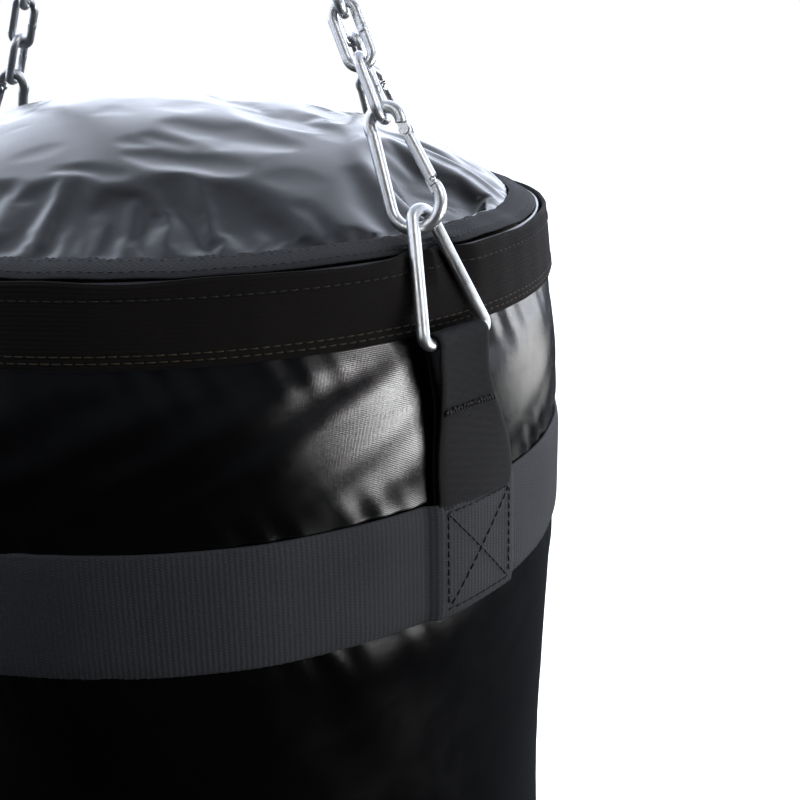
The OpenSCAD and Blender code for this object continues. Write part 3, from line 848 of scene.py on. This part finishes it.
def vinyl_material(name, grain):
    """Glossy PVC-coated cloth: its scrim shows as a fine diagonal grain."""
    m = Nodes(name)
    uv = m.cloth()
    split = m.add("ShaderNodeSeparateXYZ")
    m.link(uv, split.inputs[0])
    warp = m.noise(uv, 14.0, 2.0)
    u = m.math("ADD", split.outputs[0], m.math("MULTIPLY", warp, 0.006))
    pitch = 2 * math.pi / (1.15 / 100)
    slant = m.math("MULTIPLY", split.outputs[1], 0.8)
    first, second = (m.math("SINE", m.math("MULTIPLY", m.math(way, u, slant), pitch))
                     for way in ("ADD", "SUBTRACT"))
    scrim = m.math("MULTIPLY", first, second)
    fine = m.noise(uv, 260.0, 3.0)
    mixed = m.math("ADD", m.math("MULTIPLY", scrim, 0.5), m.math("MULTIPLY", fine, 0.9))
    m.link(m.bump(mixed, grain, 0.00007), m.shader.inputs["Normal"])
    patches = m.noise(m.place(), 9.0, 5.0)
    m.link(m.ramp(patches, [(0.3, grey(0.0012, (0.95, 0.97, 1.1))),
                            (0.75, grey(0.0026, (0.95, 0.97, 1.12)))]), m.shader.inputs["Base Color"])
    m.link(m.ramp(m.noise(m.place(), 60.0, 6.0), [(0.25, grey(0.15)), (0.8, grey(0.25))]),
           m.shader.inputs["Roughness"])
    m.shader.inputs["IOR"].default_value = 1.52
    return m.material


def webbing_material(name, dark, light, tint, shine):
    """Woven polyester: fine yarns over the ribs that the mesh already has."""
    m = Nodes(name)
    uv = m.cloth()
    split = m.add("ShaderNodeSeparateXYZ")
    m.link(uv, split.inputs[0])
    slant = m.math("ADD", split.outputs[0], split.outputs[1])
    fibre = m.math("SINE", m.math("MULTIPLY", slant, 2 * math.pi * 100 / 0.42))
    cross = m.math("SINE", m.math("MULTIPLY", split.outputs[1], 2 * math.pi * 100 / 0.6))
    fuzz = m.noise(uv, 420.0, 4.0)
    height = m.math("ADD", m.math("MULTIPLY", m.math("ADD", fibre, cross), 0.25), fuzz)
    m.link(m.bump(height, 0.7, 0.00016), m.shader.inputs["Normal"])
    shade = m.math("ADD", m.math("MULTIPLY", m.noise(uv, 120.0, 5.0), 0.6),
                   m.math("MULTIPLY", m.noise(m.place(), 26.0, 4.0), 0.4))
    m.link(m.ramp(shade, [(0.32, grey(dark, tint)), (0.72, grey(light, tint))]),
           m.shader.inputs["Base Color"])
    m.link(m.ramp(fuzz, [(0.3, grey(0.62)), (0.75, grey(0.86))]), m.shader.inputs["Roughness"])
    m.shader.inputs["Sheen Weight"].default_value = 0.02
    m.shader.inputs["Sheen Roughness"].default_value = 0.4
    m.shader.inputs["Specular IOR Level"].default_value = shine
    return m.material


def thread_material(name, colour):
    m = Nodes(name)
    twist = m.noise(m.place(), 2600.0, 2.0)
    m.link(m.bump(twist, 0.6, 0.00012), m.shader.inputs["Normal"])
    m.link(m.ramp(m.noise(m.place(), 300.0), [(0.3, colour), (0.8, tuple(1.7 * c for c in colour))]),
           m.shader.inputs["Base Color"])
    m.shader.inputs["Roughness"].default_value = 0.6
    m.shader.inputs["Specular IOR Level"].default_value = 0.3
    return m.material


def steel_material(name, bright, roughness, tint=(1, 1, 1)):
    """Bright zinc plate: small tumbling marks, slight clouding and a duller tone here and there."""
    m = Nodes(name)
    where = m.place()
    cloud = m.noise(where, 90.0, 6.0, 0.6)
    marks = m.noise(where, 900.0, 3.0)
    pits = m.noise(where, 2400.0, 2.0)
    m.link(m.ramp(cloud, [(0.28, grey(bright * 0.84, tint)), (0.62, grey(bright, tint))]),
           m.shader.inputs["Base Color"])
    m.link(m.ramp(m.math("ADD", m.math("MULTIPLY", cloud, 0.5), m.math("MULTIPLY", marks, 0.5)),
                  [(0.35, grey(roughness * 0.8)), (0.68, grey(roughness * 1.45))]),
           m.shader.inputs["Roughness"])
    normal = m.bump(marks, 0.22, 0.0002)
    m.link(m.bump(pits, 0.12, 0.00006, normal), m.shader.inputs["Normal"])
    m.shader.inputs["Metallic"].default_value = 1.0
    return m.material


def filler_material(name, dark, light, scale):
    m = Nodes(name)
    where = m.place()
    cells = m.add("ShaderNodeTexVoronoi", Scale=scale)
    m.link(where, cells.inputs["Vector"])
    m.link(m.bump(cells.outputs["Distance"], 0.7, 0.002), m.shader.inputs["Normal"])
    m.link(m.ramp(m.noise(where, scale / 2), [(0.3, dark), (0.7, light)]), m.shader.inputs["Base Color"])
    m.shader.inputs["Roughness"].default_value = 0.9
    return m.material


def foam_material(name):
    return filler_material(name, (0.09, 0.09, 0.10), (0.14, 0.14, 0.15), 500.0)


def dress(piece, material):
    piece.data.materials.clear()
    piece.data.materials.append(material)


def dress_hardware():
    """Gives every CAD node its material, and returns the chains' material for the weld beads."""
    zinc = steel_material("zinc_plate", 0.74, 0.36, (0.985, 1.0, 1.02))
    chain = steel_material("zinc_chain", 0.70, 0.38, (0.98, 1.0, 1.03))
    ground = steel_material("ground_steel", 0.72, 0.14)
    brass = steel_material("cage_brass", 0.75, 0.25, (1.0, 0.78, 0.42))
    foam = foam_material("foam")
    stuffing = filler_material("stuffing", (0.25, 0.20, 0.15), (0.42, 0.36, 0.30), 90.0)
    special = {"race_lower": ground, "race_upper": ground, "bearing_balls": ground,
               "bearing_cage": brass, "foam_liner": foam, "lid_pad": foam, "filler_core": stuffing}
    for node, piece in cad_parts.items():
        material = special.get(node, chain if node.startswith("chain_") else zinc)
        dress(piece, material)
        for polygon in piece.data.polygons:
            polygon.material_index = 0
    return chain


# ---------- camera, light and floor ----------

CAMERA_D, CAMERA_H = 599.5, 95.6     # distance from the bag's axis and height over its lip
CAMERA_PITCH, CAMERA_YAW = 18.39, 13.10
CAMERA_F, CAMERA_SHIFT = 56.3, -0.083

# Soft boxes: azimuth from the photograph's side to the right, height over the lip, distance from the
# axis, width and height of the box, its power, and the height that it looks at. Lengths are in metres.
SOFT_BOXES = {
    "key": (38, 1.35, 1.7, 0.9, 0.9, 12, -0.06),
    "fill": (-52, 1.2, 1.8, 0.9, 0.9, 7, -0.06),
    "wall_box": (58, -0.33, 1.5, 0.72, 0.34, 16, -0.1),
    "side_box": (112, -0.30, 1.6, 0.30, 0.5, 3.5, -0.1),
}


def make_camera():
    camera = bpy.data.objects.new("camera", bpy.data.cameras.new("camera"))
    bpy.context.scene.collection.objects.link(camera)
    side = math.radians(CAMERA_AZ)
    camera.location = (CAMERA_D * MM * math.sin(side), -CAMERA_D * MM * math.cos(side),
                       (CAMERA_H + LIP) * MM)
    camera.rotation_euler = (math.radians(90 - CAMERA_PITCH), 0, math.radians(CAMERA_AZ - CAMERA_YAW))
    camera.data.sensor_width = 36
    camera.data.lens = CAMERA_F
    camera.data.shift_x = CAMERA_SHIFT
    camera.data.clip_start = 0.02
    camera.data.clip_end = 60
    bpy.context.scene.camera = camera


def make_light(name, azimuth, height, distance, width, tall, power, aim_height):
    """A soft box that looks at the bag's axis."""
    light = bpy.data.lights.new(name, "AREA")
    light.shape = "RECTANGLE"
    light.size, light.size_y = width, tall
    light.energy = power
    holder = bpy.data.objects.new(name, light)
    bpy.context.scene.collection.objects.link(holder)
    side = math.radians(azimuth + CAMERA_AZ)
    place = Vector((distance * math.sin(side), -distance * math.cos(side), LIP * MM + height))
    holder.location = place
    aim = Vector((0, 0, LIP * MM + aim_height)) - place
    holder.rotation_euler = aim.to_track_quat("-Z", "Y").to_euler()
    holder.visible_camera = False


def make_floor():
    """A plain pale floor, a little below the hanging bag."""
    half = 14.0
    mesh = bpy.data.meshes.new("floor")
    mesh.from_pydata([(-half, -half, 0), (half, -half, 0), (half, half, 0), (-half, half, 0)], [],
                     [(0, 1, 2, 3)])
    floor = bpy.data.objects.new("floor", mesh)
    floor.location.z = (BOTTOM + LIP) * MM - 0.35
    bpy.context.scene.collection.objects.link(floor)
    m = Nodes("floor_paint")
    m.link(m.ramp(m.noise(m.place(), 3.0), [(0.3, grey(0.80)), (0.7, grey(0.84))]),
           m.shader.inputs["Base Color"])
    m.shader.inputs["Roughness"].default_value = 0.9
    m.shader.inputs["Emission Color"].default_value = (1, 1, 1, 1)
    m.shader.inputs["Emission Strength"].default_value = 0.95
    dress(floor, m.material)
    floor.visible_glossy = floor.visible_diffuse = False


def make_world():
    """White where it is seen; what lights the bag is bright low down behind it and dark elsewhere."""
    world = bpy.data.worlds.new("studio")
    bpy.context.scene.world = world
    world.use_nodes = True
    tree = world.node_tree
    tree.nodes.clear()
    coordinate = tree.nodes.new("ShaderNodeTexCoord")

    def ramp_along(direction, stops):
        """Brightness by how far a ray points along direction, from -1 to 1."""
        toward = tree.nodes.new("ShaderNodeVectorMath")
        toward.operation = "DOT_PRODUCT"
        toward.inputs[1].default_value = direction
        tree.links.new(coordinate.outputs["Generated"], toward.inputs[0])
        scale = tree.nodes.new("ShaderNodeMapRange")
        scale.inputs["From Min"].default_value, scale.inputs["From Max"].default_value = -1, 1
        tree.links.new(toward.outputs["Value"], scale.inputs["Value"])
        ramp = tree.nodes.new("ShaderNodeValToRGB")
        while len(ramp.color_ramp.elements) < len(stops):
            ramp.color_ramp.elements.new(0.5)
        for element, (along, level) in zip(ramp.color_ramp.elements, stops):
            element.position = (along + 1) / 2
            element.color = (*grey(level, (0.94, 0.98, 1.06)), 1)
        tree.links.new(scale.outputs["Result"], ramp.inputs["Fac"])
        return ramp.outputs["Color"]

    side = math.radians(CAMERA_AZ)
    behind = ramp_along((-math.sin(side), math.cos(side), 0), [(-0.45, 0.03), (0.35, 1.0)])
    height = ramp_along((0, 0, 1), [(-0.16, 0.015), (0.06, 1.0), (0.42, 0.8), (0.86, 0.30)])
    level = tree.nodes.new("ShaderNodeMix")
    level.data_type, level.blend_type = "RGBA", "MULTIPLY"
    level.inputs["Factor"].default_value = 1.0
    tree.links.new(behind, level.inputs["A"])
    tree.links.new(height, level.inputs["B"])
    seen = tree.nodes.new("ShaderNodeBackground")
    seen.inputs["Color"].default_value = (1, 1, 1, 1)
    seen.inputs["Strength"].default_value = 1.0
    glow = tree.nodes.new("ShaderNodeBackground")
    glow.inputs["Strength"].default_value = 3.2
    tree.links.new(level.outputs["Result"], glow.inputs["Color"])
    path = tree.nodes.new("ShaderNodeLightPath")
    mix = tree.nodes.new("ShaderNodeMixShader")
    output = tree.nodes.new("ShaderNodeOutputWorld")
    tree.links.new(path.outputs["Is Camera Ray"], mix.inputs[0])
    tree.links.new(glow.outputs[0], mix.inputs[1])
    tree.links.new(seen.outputs[0], mix.inputs[2])
    tree.links.new(mix.outputs[0], output.inputs["Surface"])


def make_studio():
    """A pale floor, white surroundings behind the bag, and soft boxes in front of it."""
    make_floor()
    make_world()
    for name, facts in SOFT_BOXES.items():
        make_light(name, *facts)
    bpy.context.scene.view_settings.view_transform = "Standard"


# ---------- all together ----------


def build():
    make_camera()
    make_studio()
    vinyl = vinyl_material("vinyl", 0.5)
    lid_vinyl = vinyl_material("lid_vinyl", 0.3)
    belt_cloth = webbing_material("belt_cloth", 0.008, 0.028, (0.86, 0.94, 1.18), shine=0.4)
    strap_cloth = webbing_material("strap_cloth", 0.0025, 0.007, (0.96, 0.97, 1.10), shine=0.18)
    band_cloth = webbing_material("band_cloth", 0.0035, 0.0075, (1.15, 0.95, 0.86), shine=0.08)
    tape_cloth = webbing_material("tape_cloth", 0.004, 0.012, (0.95, 0.98, 1.10), shine=0.35)
    black_thread = thread_material("black_thread", (0.005, 0.005, 0.0055))
    brown_thread = thread_material("brown_thread", (0.020, 0.0145, 0.008))
    dress(make_wall(), vinyl)
    dress(make_lid(), lid_vinyl)
    dress(make_lid_pad(), foam_material("pad_foam"))
    dress(make_bottom(), vinyl)
    dress(make_lid_tape(), tape_cloth)
    dress(make_bottom_tape(), tape_cloth)
    dress(make_band(), band_cloth)
    dress(make_belt(), belt_cloth)
    for k in range(LEGS):
        dress(make_strap(k), strap_cloth)
    rows, lower = make_stitching()
    for piece in rows:
        dress(piece, black_thread)
    dress(lower, brown_thread)
    chain = dress_hardware()
    for k in range(LEGS):
        dress(make_welds(k), chain)


build()
